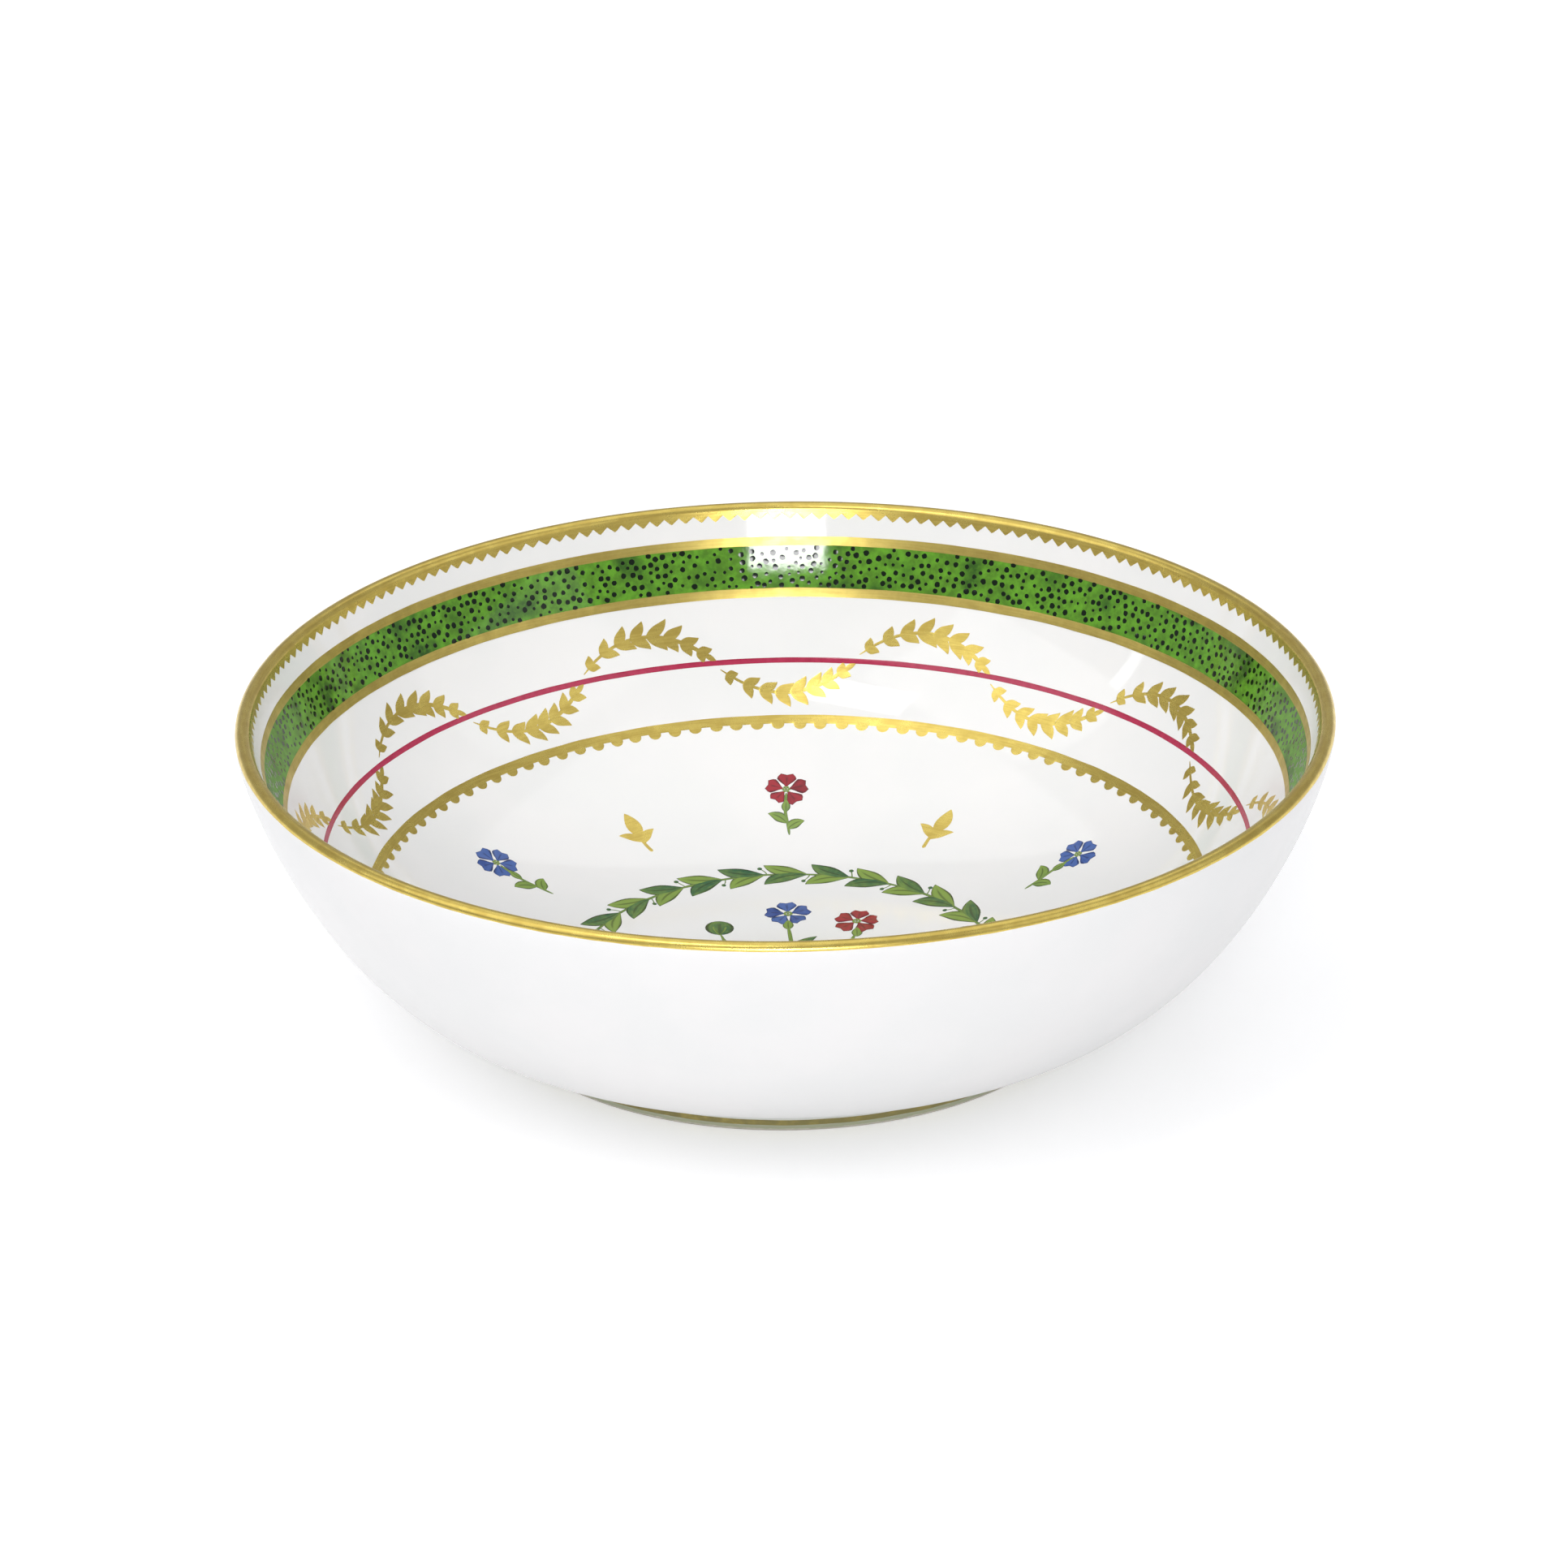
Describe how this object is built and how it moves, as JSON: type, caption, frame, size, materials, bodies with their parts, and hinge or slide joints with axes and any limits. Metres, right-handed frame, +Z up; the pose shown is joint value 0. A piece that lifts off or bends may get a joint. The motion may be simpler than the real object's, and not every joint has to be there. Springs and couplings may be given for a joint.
{
  "type": "porcelain bowl",
  "caption": "Round glazed porcelain bowl on a low foot ring, with a gilded lip and gilded and enamelled bands and sprigs inside, for serving food.",
  "frame": {"origin": "centre of the circle that the foot ring stands on", "axes": "+Z up along the bowl's axis of turning; +Y is the side away from the picture's viewer, where the posy points"},
  "size_m": [0.165, 0.165, 0.0485],
  "materials": {
    "glazed_porcelain": "clear gloss glaze on white porcelain",
    "foot_porcelain": "glazed sides, unglazed standing edge",
    "burnished_gold": "fired gold, satin",
    "green_enamel": "glossy enamel with dark specks",
    "crimson_enamel": "glossy enamel",
    "leaf_green_enamel": "glossy enamel",
    "red_enamel": "glossy enamel",
    "blue_enamel": "glossy enamel"
  },
  "bodies": {
    "root": {"bowl_body": "glazed_porcelain", "foot_ring": "foot_porcelain", "lip_gilding": "burnished_gold", "dentil_edge": "burnished_gold", "upper_band_line": "burnished_gold", "green_band": "green_enamel", "lower_band_line": "burnished_gold", "crimson_thread": "crimson_enamel", "frieze_twig_01": "burnished_gold", "frieze_twig_02": "burnished_gold", "frieze_twig_03": "burnished_gold", "frieze_twig_04": "burnished_gold", "frieze_twig_05": "burnished_gold", "frieze_twig_06": "burnished_gold", "frieze_twig_07": "burnished_gold", "frieze_twig_08": "burnished_gold", "frieze_twig_09": "burnished_gold", "frieze_twig_10": "burnished_gold", "frieze_twig_11": "burnished_gold", "frieze_twig_12": "burnished_gold", "frieze_twig_13": "burnished_gold", "frieze_twig_14": "burnished_gold", "frieze_twig_15": "burnished_gold", "frieze_twig_16": "burnished_gold", "frieze_twig_17": "burnished_gold", "frieze_twig_18": "burnished_gold", "frieze_twig_19": "burnished_gold", "frieze_twig_20": "burnished_gold", "scalloped_line": "burnished_gold", "red_blossom_1": "red_enamel", "blue_blossom_1": "blue_enamel", "red_blossom_2": "red_enamel", "blue_blossom_2": "blue_enamel", "red_blossom_3": "red_enamel", "blue_blossom_3": "blue_enamel", "blossom_stem_1": "leaf_green_enamel", "gold_sprig_1": "burnished_gold", "blossom_stem_2": "leaf_green_enamel", "gold_sprig_2": "burnished_gold", "blossom_stem_3": "leaf_green_enamel", "gold_sprig_3": "burnished_gold", "blossom_stem_4": "leaf_green_enamel", "gold_sprig_4": "burnished_gold", "blossom_stem_5": "leaf_green_enamel", "gold_sprig_5": "burnished_gold", "blossom_stem_6": "leaf_green_enamel", "gold_sprig_6": "burnished_gold", "leaf_wreath": "leaf_green_enamel", "posy_red_blossom": "red_enamel", "posy_blue_blossom": "blue_enamel", "posy_bud": "leaf_green_enamel", "posy_stems": "leaf_green_enamel", "foot_gilding": "burnished_gold"}
  },
  "joints": []
}
